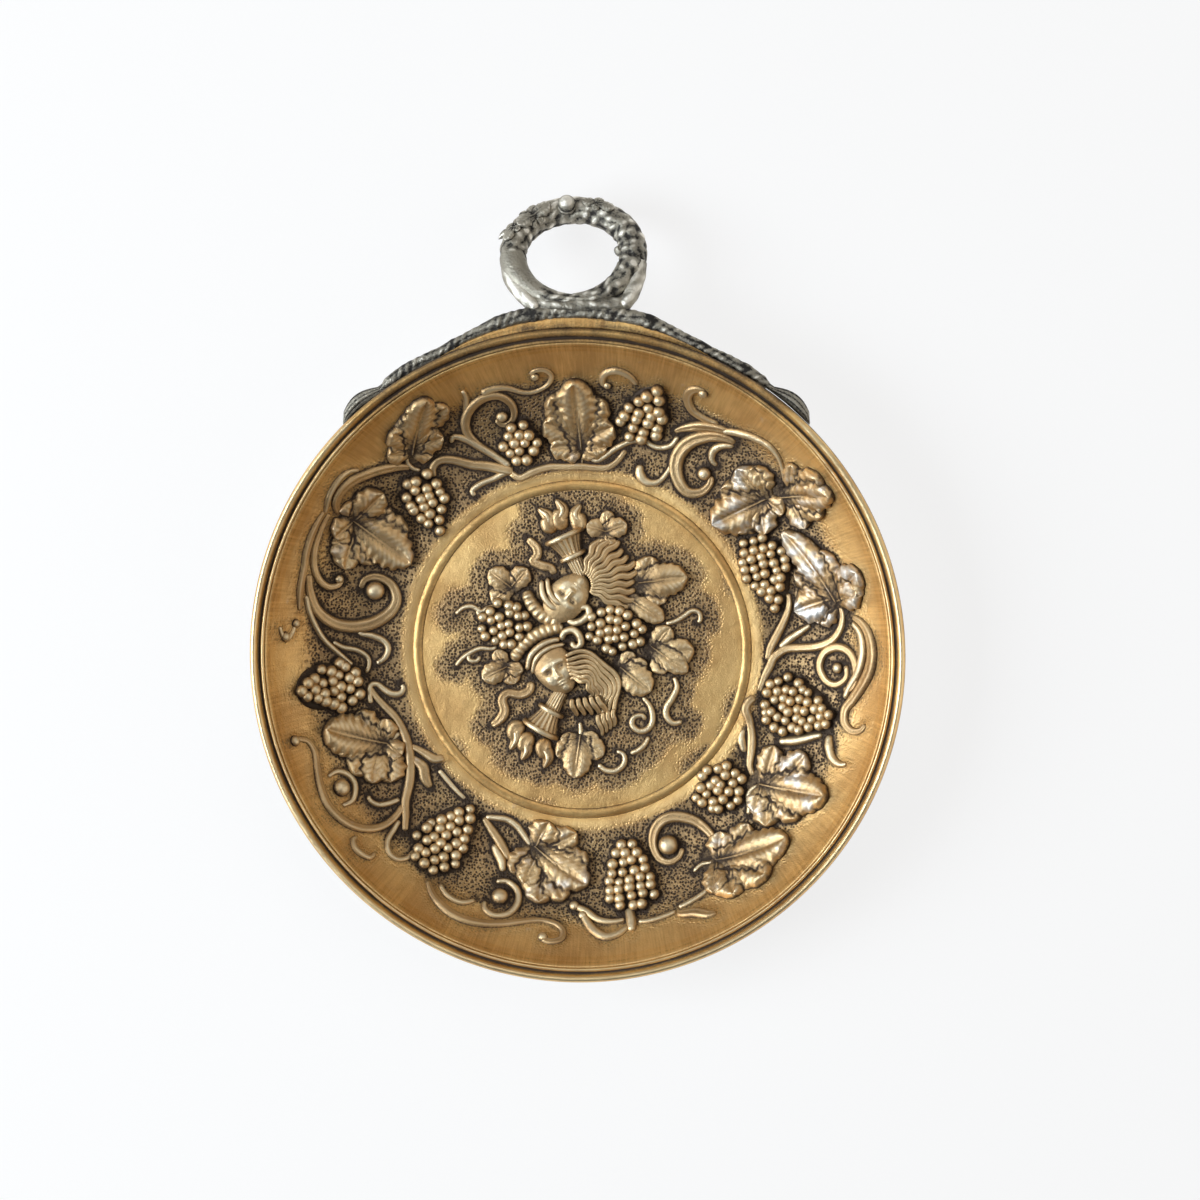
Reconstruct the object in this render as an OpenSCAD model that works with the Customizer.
// Tastevin, a shallow wine taster: a bowl with a grapevine frieze on its wall, a medallion of two heads
// and two torches on its floor, a half-round rim wire, and a vine branch that carries a finger ring.
// Millimetres. The origin is the centre of the resting face, +Y points to the finger ring, +Z is up.

/* [Bowl] */
// Diameter over the lip
rim_d = 110; // [100:1:124]
// Diameter of the flat floor, inside
floor_d = 62; // [58:1:68]
// Depth inside, from the lip to the floor
bowl_depth = 14; // [11:0.5:18]
// Thickness of the raised sheet
sheet_t = 1.2; // [0.8:0.1:1.8]

/* [Rim wire] */
// Width of the half-round wire on the lip
wire_w = 2.4; // [1.8:0.1:3]
// Height of the half-round wire
wire_h = 1.5; // [0.8:0.1:2]
// Flat step between the wire and the wall
wire_step = 0.3; // [0.1:0.1:0.8]

/* [Floor bead] */
// Distance from the floor's edge to the crest of the bead
bead_margin = 2.4; // [1.6:0.1:3.6]
// Width of the bead
bead_w = 1.4; // [0.8:0.1:2]
// Height of the bead
bead_h = 0.6; // [0.3:0.1:1]

/* [Frieze] */
// Height of a leaf over the wall
leaf_relief = 1; // [0.6:0.1:1.6]
// Thickness of a leaf at its edge
leaf_edge = 0.4; // [0.2:0.1:0.6]
// Diameter of a grape
grape_d = 1.7; // [1.2:0.1:1.8]
// Height of a grape over the wall
grape_h = 1.3; // [0.9:0.1:1.6]
// Diameter of a stem or scroll
stem_d = 1.1; // [0.7:0.1:1.3]
// Diameter of the ball in a scroll
ball_d = 2.6; // [1.6:0.1:3]

/* [Medallion] */
// Height of a head over the floor
head_relief = 2.2; // [1:0.1:3]
// Length of a head from crown to chin
head_l = 11; // [8:0.5:12]
// Diameter of a torch at its upper ring
torch_d = 6; // [4:0.2:7]
// Height of the flames and ribbons
flame_relief = 0.9; // [0.5:0.1:1.4]
// Diameter of a tendril on the floor
tendril_d = 0.8; // [0.5:0.1:1]

/* [Thumb plate and branch] */
// Angle from the handle's middle to each end of the thumb plate
thumb_half_angle = 24; // [20:1:30]
// Width of the thumb plate at its middle
thumb_w = 1.9; // [1:0.1:4]
// Thickness of the thumb plate
thumb_t = 1.2; // [0.8:0.1:2]
// Diameter of the branch at its middle
branch_d = 1.7; // [1.2:0.1:3]
// Angle from the handle's middle to each end of the branch
branch_half_angle = 35.5; // [30:0.5:37]
// Angle that a branch tip takes up
tip_angle = 9; // [6:0.5:12]
// Diameter of a branch tip
tip_d = 2.3; // [2:0.1:4]

/* [Finger ring] */
// Width of the finger hole
ring_hole_w = 15.8; // [14:0.2:22]
// Length of the finger hole, along the ring's slope
ring_hole_l = 14.2; // [12:0.2:20]
// Diameter of the ring's stem
ring_stem_d = 4.4; // [3:0.1:5]
// Diameter of the ring's stem where it meets the branch
ring_foot_d = 2; // [1.2:0.1:2.6]
// Distance that the ring stands to the left of the handle's middle
ring_side = 0.6; // [0:0.1:1]
// Slope of the ring down from the rim, in degrees
ring_droop = 28; // [15:1:30]
// Diameter of the berry on the ring
berry_d = 3.2; // [2:0.1:4]

/* [Hidden] */
$fn = 96;
// Solder gap under every seated piece
solder = 0.03;

// Bowl profile: the wall is one arc, tangent to the floor, that ends at the mouth
floor_r = floor_d / 2;
rim_r = rim_d / 2;
mouth_r = rim_r - wire_w - wire_step;
wall_run = mouth_r - floor_r;
wall_turn = 2 * atan(bowl_depth / wall_run);
wall_r = wall_run / sin(wall_turn);
degree = 180 / PI;
wall_arc = wall_r * wall_turn / degree;
floor_z = sheet_t;
lip_z = floor_z + bowl_depth;
bead_r = floor_r - bead_margin;

// The frieze is drawn on a strip of this height, which is then laid on the wall from floor to lip
strip_h = 27;
// The medallion is drawn inside a circle of this radius, which is then laid inside the bead
medal_drawing_r = 28.6;

function unit(v) = v / norm(v);
function turn_at(s) = max(s, 0) / wall_r * degree;
function radius_at(s) = floor_r + min(s, 0) + wall_r * sin(turn_at(s));
// A point h over the wall, at angle a and at s up the wall from the floor's edge; s < 0 is on the floor
function wall_point(a, s, h) =
    let (t = turn_at(s), r = radius_at(s) - h * sin(t))
    [r * cos(a), r * sin(a), floor_z + wall_r - (wall_r - h) * cos(t)];
function wall_up(a, s) =
    let (t = turn_at(s))
    [-sin(t) * cos(a), -sin(t) * sin(a), cos(t)];
function strip(v) = v * wall_arc / strip_h;
// The point [x, y] of a motif whose root is at angle a and height v on the strip; x runs to smaller angles
function motif_point(a, v, p, h) =
    let (s = strip(v) + p[1])
    wall_point(a - p[0] / radius_at(s) * degree, s, h);
function medal(p) = p * bead_r / medal_drawing_r;
function medal_point(p, q, h) = [medal(p)[0] + q[0], medal(p)[1] + q[1], floor_z + h];
function turned(p, d) = [p[0] * cos(d) + p[1] * sin(d), p[1] * cos(d) - p[0] * sin(d)];

// Smooth curve through points, with this many steps between each two
steps = 2;
function between(p0, p1, p2, p3, t) =
    0.5 * (2 * p1 + (p2 - p0) * t + (2 * p0 - 5 * p1 + 4 * p2 - p3) * t * t
    + (3 * p1 - p0 - 3 * p2 + p3) * t * t * t);
function smooth(p) =
    let (n = len(p) - 1)
    [for (i = [0 : n - 1]) for (k = [0 : steps - 1])
        between(p[max(i - 1, 0)], p[i], p[i + 1], p[min(i + 2, n)], k / steps), p[n]];

// Two triangles of a four-sided face
function quad(a, b, c, d) = [[a, b, c], [a, c, d]];

// Solid over a star-shaped outline: rings of equal length from the seat up, closed at two roots
module raised(rings, root_below, root_above) {
    n = len(rings[0]);
    k = len(rings);
    points = concat([root_below, root_above], [for (ring = rings) each ring]);
    below = [for (i = [0 : n - 1]) [0, 2 + (i + 1) % n, 2 + i]];
    sides = [for (j = [0 : k - 2]) for (i = [0 : n - 1]) let (i2 = (i + 1) % n)
        each quad(2 + j * n + i2, 2 + (j + 1) * n + i2, 2 + (j + 1) * n + i, 2 + j * n + i)];
    above = [for (i = [0 : n - 1]) [1, 2 + (k - 1) * n + i, 2 + (k - 1) * n + (i + 1) % n]];
    polyhedron(points, concat(below, sides, above));
}

// Round stem through points, each with its own up direction and radius
module stem(points, ups, radii, sides, closed = false) {
    n = len(points);
    along = [for (i = [0 : n - 1])
        let (
            ahead = closed ? (i + 1) % n : min(i + 1, n - 1),
            back = closed ? (i + n - 1) % n : max(i - 1, 0))
        unit(points[ahead] - points[back])];
    ring_points = [for (i = [0 : n - 1])
        let (side = unit(cross(ups[i], along[i])), up = cross(along[i], side))
        for (k = [0 : sides - 1])
            points[i] + radii[i] * (cos(k * 360 / sides) * side + sin(k * 360 / sides) * up)];
    skin = [for (i = [0 : (closed ? n - 1 : n - 2)]) for (k = [0 : sides - 1])
        let (i2 = (i + 1) % n, k2 = (k + 1) % sides)
        each quad(i * sides + k, i2 * sides + k, i2 * sides + k2, i * sides + k2)];
    start = [for (k = [1 : sides - 2]) [0, k, k + 1]];
    last = (n - 1) * sides;
    end = [for (k = [1 : sides - 2]) [last, last + k + 1, last + k]];
    polyhedron(ring_points, closed ? skin : concat(skin, start, end));
}

// Grape or ball: a ball of diameter d, cut flat so that it stands h over its seat
module berry(d, h) {
    rotate_extrude()
        intersection() {
            translate([0, h - d / 2]) circle(d = d);
            square([d, h]);
        }
}

module on_wall(a, s) {
    rotate([0, 0, a])
        translate([radius_at(s), 0, floor_z + wall_r - wall_r * cos(turn_at(s))])
            rotate([0, -turn_at(s), 0])
                translate([0, 0, solder])
                    children();
}

// Half-round section of width w and height h, standing on y = 0 with its middle at x = r
module half_round(r, w, h) {
    bow = (w * w / 4 + h * h) / (2 * h);
    translate([r, 0])
        intersection() {
            translate([0, h - bow]) circle(bow);
            translate([-w, 0]) square([2 * w, h]);
        }
}

// Five-lobed vine leaf: distance from its root at the angle psi from its tip, as a share of its length
leaf_points = 32;
leaf_sweep = 300;
leaf_waist = 0.42;
lobe_angle = 57;
lobe_depth = 0.18;
function leaf_reach(psi) =
    (1 - leaf_waist * 2 * abs(psi) / leaf_sweep)
    * (1 - lobe_depth + lobe_depth * cos(psi * 360 / lobe_angle));
function leaf_outline(l, w, d) =
    [for (i = [0 : leaf_points - 1])
        let (psi = leaf_sweep * (i / (leaf_points - 1) - 0.5), r = leaf_reach(psi))
        turned([w * r * sin(psi), l * r * cos(psi)], d)];
// A leaf's crown, as a share of its outline
crown = 0.55;

// Frieze leaves: [angle, strip height of the root, direction of the tip from the lip, length, half width]
LEAVES = [
    [90, 6, 2, 11.4, 8.4], [129, 16, 40, 9, 7], [40.6, 10, 198, 9.2, 7.2], [35.4, 17.6, 12, 7.4, 6.6],
    [12, 14.6, 290, 10, 8.4], [324.4, 9.4, 328, 11, 8.4], [304, 13, 300, 9.6, 7.4], [258, 6, 305, 9.4, 8.2],
    [206, 9, 30, 9.6, 8.4], [150.4, 13.6, 186, 11.6, 9]];

// Frieze bunches: [angle, strip height of the middle, direction of the tip from the lip, grapes in each row]
BUNCHES = [
    [106, 6.6, 190, [2, 3, 4, 4, 2]], [74.2, 12.8, 8, [2, 4, 5, 4, 3, 2, 1]],
    [21.6, 3.9, 96, [3, 4, 5, 5, 4, 3, 2]], [345.6, 7.6, 0, [6, 7, 6, 5, 4, 3, 2, 1]],
    [315.4, 2.2, 90, [2, 3, 4, 4, 3, 2]], [282.6, 9.4, 180, [5, 6, 5, 4, 3, 2, 1]],
    [234.2, 9.6, 184, [3, 5, 5, 5, 4, 3, 2, 1]], [187.8, 14.6, 4, [3, 4, 5, 4, 3, 2, 1]],
    [136.6, 5.6, 205, [2, 3, 4, 4, 3, 2, 1]]];

// Frieze stems, one group between each two motifs: points of [angle, strip height]
STEMS = [
    [[[112, 1.4], [106, 0.6], [100, 0.7], [92, 0.7], [86, 0.7], [81.4, 1.8], [78.6, 4]],
     [[108.6, 19], [105, 18.2], [102, 16.2], [99.4, 16.2], [97, 17.8], [97.6, 19.8]],
     [[80.6, 19.6], [83, 20], [84.8, 18.4], [84.8, 16.6]]],
    [[[114, 3], [117.4, 5], [121, 7], [124.6, 9.4], [128.4, 9.8]],
     [[112.6, 7], [115.4, 10], [115.6, 13.6], [113, 16.2], [109.6, 16.6], [106.6, 14.8], [105.6, 12.4]]],
    [[[149.6, 19.2], [146, 20.6], [142, 19.8], [138.4, 17.4], [136.4, 15.2]],
     [[171.6, 20.6], [166, 20.6], [161, 21.6], [155, 22], [151.6, 21.6]]],
    [[[167.4, 18], [171.6, 16], [174.2, 11], [172.8, 6], [169, 2.8], [164.4, 2.2], [161.6, 4]],
     [[183.4, 4.6], [181.4, 3.2], [178.8, 3.2], [177, 5], [176.8, 7.6]],
     [[180.8, 11.4], [178.4, 14.2], [176, 16.6], [174, 18.6]]],
    [[[225, 12.6], [221, 10], [217.4, 7], [213, 4.2], [208, 2.8], [203, 2.6], [198, 3.6], [194, 5.6]],
     [[222, 13.6], [221.4, 16], [219.4, 19], [216, 21.4], [211, 22.6], [206, 21.8], [202, 20.6], [197.8, 22]],
     [[230, 1.4], [226, 1.6], [220, 1.6]]],
    [[[264.6, 20.6], [266.8, 19.6], [265.2, 17.8], [262, 17.4], [257, 18.8], [252, 20.6], [247, 21.6],
      [242, 21.2], [238, 19.8]],
     [[256.2, 16.2], [255.6, 13.4], [252.6, 12], [249.4, 12.8], [248.4, 15.4]],
     [[249.6, 9.2], [246.4, 6.6], [243, 5]],
     [[251.6, 1.8], [246, 1.2], [241, 2]]],
    [[[279.6, 19.6], [276, 20.4], [273, 18.6], [271, 16]],
     [[290.6, 18.2], [286.4, 18.8], [282.6, 18.4]],
     [[304.8, 7], [304, 4.6], [300, 2.4], [294.6, 1.8], [291, 3.6], [290.6, 6.4], [292.6, 8.6]]],
    [[[346, -0.4], [342, -1.2], [337, -0.6], [332, 1], [328.4, 1.8]],
     [[338, 20.8], [337.4, 18.4], [339.4, 16.4], [342, 15.6]]],
    [[[4.6, 20.6], [1.4, 21.6], [-3, 20.8], [-7.4, 18.8], [-10.4, 17.8], [-13.2, 18.6], [-13.6, 20.8]],
     [[-6.6, 15.4], [-5.4, 17.2], [-2.4, 17.6], [0.4, 15.6], [0.4, 12.6], [-2.4, 10.8], [-5.2, 12.2]],
     [[3.4, 11.4], [2, 9], [1.8, 5.6], [0, 3.2], [-2.6, 2.2]]],
    [[[56.4, 16.2], [52, 18.4], [47.6, 19.4], [44.6, 19]],
     [[55, 14], [59.4, 12.4], [63, 8.6], [62.4, 4.6], [58, 2.2], [54.2, 2.6], [52.6, 4.6], [53.8, 6.8]],
     [[66, 20.8], [67, 18.8], [65, 16.8], [61.6, 15.8]],
     [[71.6, 3.2], [70, 1.2], [67.4, 0.6], [65.2, 1.8]]]];
// A ball's height, as a share of its diameter
ball_share = 0.8;
// Balls held in the scrolls, each with the number of the stem group that it belongs to
BALLS = [[1, 110, 12.8], [3, 164.6, 6.2], [4, 209, 18.4], [5, 252.2, 15.8], [6, 295.2, 5.6], [8, -2.4, 14.2]];

// Medallion leaves: [place of the root, direction of the tip from the handle, length, half width]
MEDAL_LEAVES = [
    [[-11, 11.2], 300, 4, 3.6], [[2.6, 21], 30, 3.6, 3.2], [[12.4, 10.8], 60, 5.4, 4.2],
    [[10.4, 6.6], 118, 3, 2.4], [[14.8, 0.2], 92, 4.8, 4], [[8.6, -4.2], 140, 4.2, 3.4],
    [[-12.6, -3], 250, 3.8, 3.2], [[0, -16.6], 180, 5, 4]];
// Medallion bunches: [name, place of the middle, direction of the tip, grapes in each row]
MEDAL_BUNCHES = [["left", [-13, 4.6], 262, [2, 3, 4, 4, 3, 2]], ["right", [7.6, 2.2], 100, [2, 3, 4, 3, 2]]];
// Medallion heads: [name, place of the middle, direction of the beard]
HEADS = [["upper", [-1.2, 10.2], 40], ["lower", [-3.8, -4], 147]];
// Torches: [name, foot of the handle, direction of the flames]
TORCHES = [["upper", [-1.4, 15.6], 338], ["lower", [-5, -10.6], 217]];
// Ribbons and tendrils, as points on the floor
RIBBONS = [
    [[-9.4, 19], [-7.8, 17], [-8.6, 15.4], [-6.6, 14.2]],
    [[-9.6, -6.6], [-10.8, -8], [-13, -8], [-13.6, -10], [-14.6, -13]]];
TENDRILS = [
    [[-22, 6], [-20.4, 7.4], [-18.8, 7.4]], [[-22, -3], [-20, -1], [-18.2, -0.4]],
    [[18, 6.4], [19.2, 7.2], [20.6, 6.6], [20.4, 5]],
    [[16, -5], [16.4, -6.6], [15, -9], [14.8, -11], [16.4, -12.4]],
    [[9.4, -9.4], [11.4, -9.6], [12.4, -11.4], [11.6, -13.4], [9.8, -14]],
    [[6.2, -17.4], [7.6, -18.6], [7, -20.4], [5, -21]]];

// Thumb plate: its outer edge is an arc that meets the rim at both ends
thumb_r_mid = rim_r + thumb_w;
thumb_c = (thumb_r_mid * thumb_r_mid - rim_r * rim_r)
    / (2 * (thumb_r_mid - rim_r * cos(thumb_half_angle)));
thumb_r = thumb_r_mid - thumb_c;
// Distance of that edge from the bowl's axis, at the angle b from the handle's middle
function edge_at(b) =
    abs(b) < thumb_half_angle
    ? thumb_c * cos(b) + sqrt(thumb_r * thumb_r - pow(thumb_c * sin(b), 2))
    : rim_r;
handle_z = lip_z - thumb_t / 2;

// Branch: knots and bends along its length, thinner where it lies on the rim itself
branch_rings = 41;
branch_bends = 9;
bend_h = 0.2;
branch_swell = 0.1;
branch_thin = 0.28;
function branch_thick(b) =
    branch_d / 2 * (1 - branch_thin * pow(sin(90 * min(1, abs(b) / thumb_half_angle)), 2))
    * (1 + branch_swell * (1 - cos(2 * branch_bends * b)));
function branch_off(b) = edge_at(b) + solder + branch_thick(b) + bend_h / 2 * (1 - cos(branch_bends * b));
tip_rings = 9;
tip_gap = 0.4;

// Finger ring: an oval that starts at its foot on the branch and slopes outwards and down
ring_rings = 44;
ring_half_w = (ring_hole_w + ring_stem_d) / 2;
ring_half_l = (ring_hole_l + ring_stem_d / 2 + ring_foot_d / 2) / 2;
ring_foot_y = branch_off(0) + branch_thick(0) + solder + ring_foot_d / 2;
ring_out = [0, cos(ring_droop), -sin(ring_droop)];
ring_up = [0, sin(ring_droop), cos(ring_droop)];
ring_middle = [-ring_side, ring_foot_y, handle_z] + ring_half_l * ring_out;
// Points of the ring, its angle t taken from the far end
function ring_point(t) = ring_middle + [ring_half_w * sin(t), 0, 0] + ring_half_l * cos(t) * ring_out;
// The stem grows from its foot to its full thickness at the ring's sides
ring_taper = 1.1;
ring_full_angle = 110;
function ring_growth(t) = min(1, pow(cos(t / 2) / cos(ring_full_angle / 2), ring_taper));
function ring_thick(t) = ring_foot_d / 2 + (ring_stem_d - ring_foot_d) / 2 * ring_growth(t);

module bowl() {
    middle = [floor_r, floor_z + wall_r];
    wedge = 4 * wall_r;
    color("goldenrod")
        rotate_extrude()
            union() {
                square([floor_r, sheet_t]);
                intersection() {
                    translate(middle)
                        difference() {
                            circle(wall_r + sheet_t);
                            circle(wall_r);
                        }
                    polygon([
                        middle, middle - [0, wedge], middle + wedge * [sin(wall_turn), -cos(wall_turn)]]);
                }
                translate([mouth_r, lip_z - sheet_t]) square([rim_r - mouth_r, sheet_t]);
            }
}

module rim_wire() {
    color("khaki")
        translate([0, 0, lip_z])
            rotate_extrude() half_round(rim_r - wire_w / 2, wire_w, wire_h);
}

module floor_bead() {
    color("khaki")
        translate([0, 0, floor_z])
            rotate_extrude() half_round(bead_r, bead_w, bead_h);
}

module thumb_plate() {
    color("goldenrod")
        translate([0, 0, lip_z - thumb_t])
            linear_extrude(thumb_t)
                difference() {
                    translate([0, thumb_c]) circle(thumb_r);
                    circle(rim_r);
                }
}

// Stretch along the outside of the rim, from one angle to another off the handle's middle
module rim_stretch(from, to, rings, sides, away, thick) {
    angles = [for (i = [0 : rings - 1]) from + (to - from) * i / (rings - 1)];
    stem([for (b = angles) [away(b) * sin(b), away(b) * cos(b), handle_z]],
        [for (b = angles) [0, 0, 1]], [for (b = angles) thick(b)], sides);
}

module vine_branch() {
    color("dimgray")
        rim_stretch(-branch_half_angle, branch_half_angle, branch_rings, 8,
            function (b) branch_off(b), function (b) branch_thick(b));
}

module branch_tip(side) {
    start = branch_half_angle + tip_gap;
    blunt = 0.3;
    tip_thick = function (b) tip_d / 2 * (blunt + (1 - blunt) * sin(180 * (abs(b) - start) / tip_angle));
    color("dimgray")
        rim_stretch(side * start, side * (start + tip_angle), tip_rings, 8,
            function (b) edge_at(b) + solder + tip_thick(b), tip_thick);
}

module finger_ring() {
    angles = [for (i = [0 : ring_rings - 1]) 360 * i / ring_rings];
    color("gray")
        stem([for (t = angles) ring_point(t)], [for (t = angles) ring_up],
            [for (t = angles) ring_thick(t > 180 ? t - 360 : t)], 12, closed = true);
}

// Seat on top of the ring's stem, at the angle t from its far end
module on_ring(t) {
    translate(ring_point(t) + (ring_thick(t) + solder) * ring_up)
        rotate([-ring_droop, 0, 0])
            children();
}

module ring_berry() {
    berry_angle = -7;
    berry_share = 0.7;
    color("gray")
        on_ring(berry_angle) berry(berry_d, berry_d * berry_share);
}

// Small pointed leaf that lies along a direction d, of length l, width w and height h
module leaflet(l, w, h, d) {
    n = 16;
    point = 0.25;
    shoulder = 0.7;
    outline = [for (i = [0 : n - 1])
        let (psi = 360 * i / n)
        turned([w / 2 * sin(psi), l / 2 * cos(psi) * (1 + point * cos(psi))], d)];
    raised(
        [[for (p = outline) [p[0], p[1], 0]],
         [for (p = outline) [p[0] * shoulder, p[1] * shoulder, h * shoulder]]],
        [0, 0, 0], [0, 0, h]);
}

module ring_bud() {
    bud_angle = -72;
    color("gray")
        on_ring(bud_angle) leaflet(ring_stem_d * 1.1, ring_stem_d * 0.6, ring_stem_d * 0.3, 285);
}

module ring_leaf() {
    ring_leaf_angle = -40;
    color("gray")
        on_ring(ring_leaf_angle) leaflet(ring_stem_d * 1.5, ring_stem_d * 0.7, ring_stem_d * 0.25, 50);
}

module vine_leaf(i) {
    a = LEAVES[i][0];
    v = LEAVES[i][1];
    edge = leaf_outline(LEAVES[i][3], LEAVES[i][4], LEAVES[i][2]);
    color("tan")
        raised(
            [[for (p = edge) motif_point(a, v, p, solder)],
             [for (p = edge) motif_point(a, v, p, solder + leaf_edge)],
             [for (p = edge) motif_point(a, v, p * crown, solder + leaf_relief)]],
            motif_point(a, v, [0, 0], solder), motif_point(a, v, [0, 0], solder + leaf_edge));
}

// Places of a bunch's grapes about its middle: rows across the direction d, in staggered order
row_share = 0.92;
function bunch_places(rows, pitch, d) =
    [for (j = [0 : len(rows) - 1]) for (k = [0 : rows[j] - 1])
        turned([(k - (rows[j] - 1) / 2) * pitch, (j - (len(rows) - 1) / 2) * pitch * row_share], d)];
// Clear space between neighbouring grapes, as a share of a grape
grape_clear = 0.02;
// A row that is not staggered needs a pitch of its own, so grapes stand this share of a grape wider apart
row_spread = 0.16;
function grape_pitch(d) = d * (1 + row_spread + grape_clear);

module grape_bunch(i) {
    a = BUNCHES[i][0];
    s = strip(BUNCHES[i][1]);
    color("burlywood")
        for (p = bunch_places(BUNCHES[i][3], grape_pitch(grape_d), BUNCHES[i][2]))
            on_wall(a - p[0] / radius_at(s + p[1]) * degree, s + p[1]) berry(grape_d, grape_h);
}

module wall_stem(places) {
    path = [for (q = smooth(places)) [q[0], strip(q[1])]];
    lift = solder + stem_d / 2;
    stem([for (q = path) wall_point(q[0], q[1], lift)], [for (q = path) wall_up(q[0], q[1])],
        [for (q = path) stem_d / 2], 6);
}

module vine_stem(i) {
    color("tan") {
        for (places = STEMS[i]) wall_stem(places);
        for (b = BALLS) if (b[0] == i) on_wall(b[1], strip(b[2])) berry(ball_d, ball_d * ball_share);
    }
}

// Domed oval on the floor about the place p: length l and width w, with its long way along d
module floor_dome(p, l, w, h, d) {
    n = 24;
    outline = [for (i = [0 : n - 1]) turned([w / 2 * sin(360 * i / n), l / 2 * cos(360 * i / n)], d)];
    raised(
        [for (k = [[1, solder], [1, solder + h * 0.25], [0.86, solder + h * 0.6], [0.5, solder + h * 0.93]])
            [for (q = outline) medal_point(p, k[0] * q, k[1])]],
        medal_point(p, [0, 0], solder), medal_point(p, [0, 0], solder + h));
}

function bump(x, middle, width) = exp(-pow((x - middle) / width, 2));
// Height of a face at u across it and v from crown to chin, each from -1 to 1, as a share of its relief
function face_height(u, v) =
    0.25 + 0.5 * sqrt(max(0, 1 - u * u - v * v))
    + 0.25 * bump(u, 0, 0.17) * bump(v, 0.14, 0.24)
    + 0.1 * bump(v, -0.16, 0.12) * bump(u, 0, 0.6)
    - 0.12 * bump(abs(u), 0.38, 0.18) * bump(v, 0.02, 0.12)
    - 0.1 * bump(u, 0, 0.3) * bump(v, 0.56, 0.06);
face_rings = [1, 0.88, 0.76, 0.64, 0.52, 0.4, 0.28, 0.16];
face_points = 32;

// Face: an oval dome of length l and width w about the place p, with its chin towards d
module face(p, l, w, h, d) {
    angles = [for (i = [0 : face_points - 1]) 360 * i / face_points];
    seat = [for (a = angles) turned([w / 2 * sin(a), l / 2 * cos(a)], d)];
    raised(
        concat([[for (q = seat) medal_point(p, q, solder)]],
            [for (k = face_rings) [for (i = [0 : face_points - 1])
                let (rise = h * face_height(k * sin(angles[i]), k * cos(angles[i])))
                medal_point(p, k * seat[i], solder + rise)]]),
        medal_point(p, [0, 0], solder), medal_point(p, [0, 0], solder + h * face_height(0, 0)));
}

// Head: the face with the beard beyond it and the wreath behind it
module head(i) {
    p = HEADS[i][1];
    d = HEADS[i][2];
    head_w = head_l * 0.55;
    beard_l = head_l * 0.4;
    wreath_w = head_l * 0.16;
    ahead = (head_l + beard_l) / 2 + solder;
    behind = (head_l + wreath_w) / 2 + solder;
    color("wheat") {
        face(p, head_l, head_w, head_relief, d);
        floor_dome(p + turned([0, ahead], d), beard_l, head_w * 0.9, head_relief * 0.7, d);
        floor_dome(p - turned([0, behind], d), wreath_w, head_w * 0.9, head_relief * 0.6, d);
    }
}

// Torch: half of a turned cup with its two rings, lying on the floor, with three flames beyond it
module torch(i) {
    p = TORCHES[i][1];
    d = TORCHES[i][2];
    ring_w = torch_d * 0.12;
    cup_l = torch_d * 0.55;
    flame_l = torch_d * 0.8;
    flame_w = torch_d * 0.3;
    flame_spread = 24;
    foot_r = torch_d * 0.3;
    rise = 0.8;
    color("wheat") {
        translate(medal_point(p, [0, 0], solder))
            rotate([0, 0, -d])
                rotate([-90, 0, 0])
                    rotate([0, 0, 180])
                        rotate_extrude(angle = 180)
                            polygon([
                                [0, 0], [foot_r * 1.15, 0], [foot_r * 1.15, ring_w], [foot_r, ring_w],
                                [torch_d / 2 * rise, ring_w + cup_l], [torch_d / 2, ring_w + cup_l],
                                [torch_d / 2, 2 * ring_w + cup_l], [0, 2 * ring_w + cup_l]]);
        for (k = [-1 : 1])
            floor_dome(p + turned([0, 2 * ring_w + cup_l + solder], d)
                + turned([k * flame_w * 0.5, flame_l * 0.6], d + k * flame_spread),
                flame_l, flame_w, flame_relief, d + k * flame_spread);
    }
}

module medal_leaf(i) {
    p = MEDAL_LEAVES[i][0];
    edge = leaf_outline(MEDAL_LEAVES[i][2], MEDAL_LEAVES[i][3], MEDAL_LEAVES[i][1]);
    color("wheat")
        raised(
            [[for (q = edge) medal_point(p, q, solder)],
             [for (q = edge) medal_point(p, q, solder + leaf_edge)],
             [for (q = edge) medal_point(p, q * crown, solder + leaf_relief)]],
            medal_point(p, [0, 0], solder), medal_point(p, [0, 0], solder + leaf_edge));
}

module medal_bunch(i) {
    color("wheat")
        for (q = bunch_places(MEDAL_BUNCHES[i][3], grape_pitch(grape_d), MEDAL_BUNCHES[i][2]))
            translate(medal_point(MEDAL_BUNCHES[i][1], q, solder)) berry(grape_d, grape_h);
}

module floor_stem(places, d) {
    path = smooth(places);
    stem([for (q = path) medal_point(q, [0, 0], solder + d / 2)], [for (q = path) [0, 0, 1]],
        [for (q = path) d / 2], 6);
}

module medal_ribbons() {
    color("wheat")
        for (places = RIBBONS) floor_stem(places, flame_relief);
}

module medal_tendrils() {
    color("wheat")
        for (places = TENDRILS) floor_stem(places, tendril_d);
}

bowl();
rim_wire();
floor_bead();
thumb_plate();
vine_branch();
branch_tip(-1);  // branch_tip_left
branch_tip(1);  // branch_tip_right
finger_ring();
ring_berry();
ring_bud();
ring_leaf();
for (i = [0 : len(LEAVES) - 1])
    vine_leaf(i);
for (i = [0 : len(BUNCHES) - 1])
    grape_bunch(i);
for (i = [0 : len(STEMS) - 1])
    vine_stem(i);
for (i = [0 : len(HEADS) - 1])
    head(i);
for (i = [0 : len(TORCHES) - 1])
    torch(i);
for (i = [0 : len(MEDAL_LEAVES) - 1])
    medal_leaf(i);
for (i = [0 : len(MEDAL_BUNCHES) - 1])
    medal_bunch(i);
medal_ribbons();
medal_tendrils();
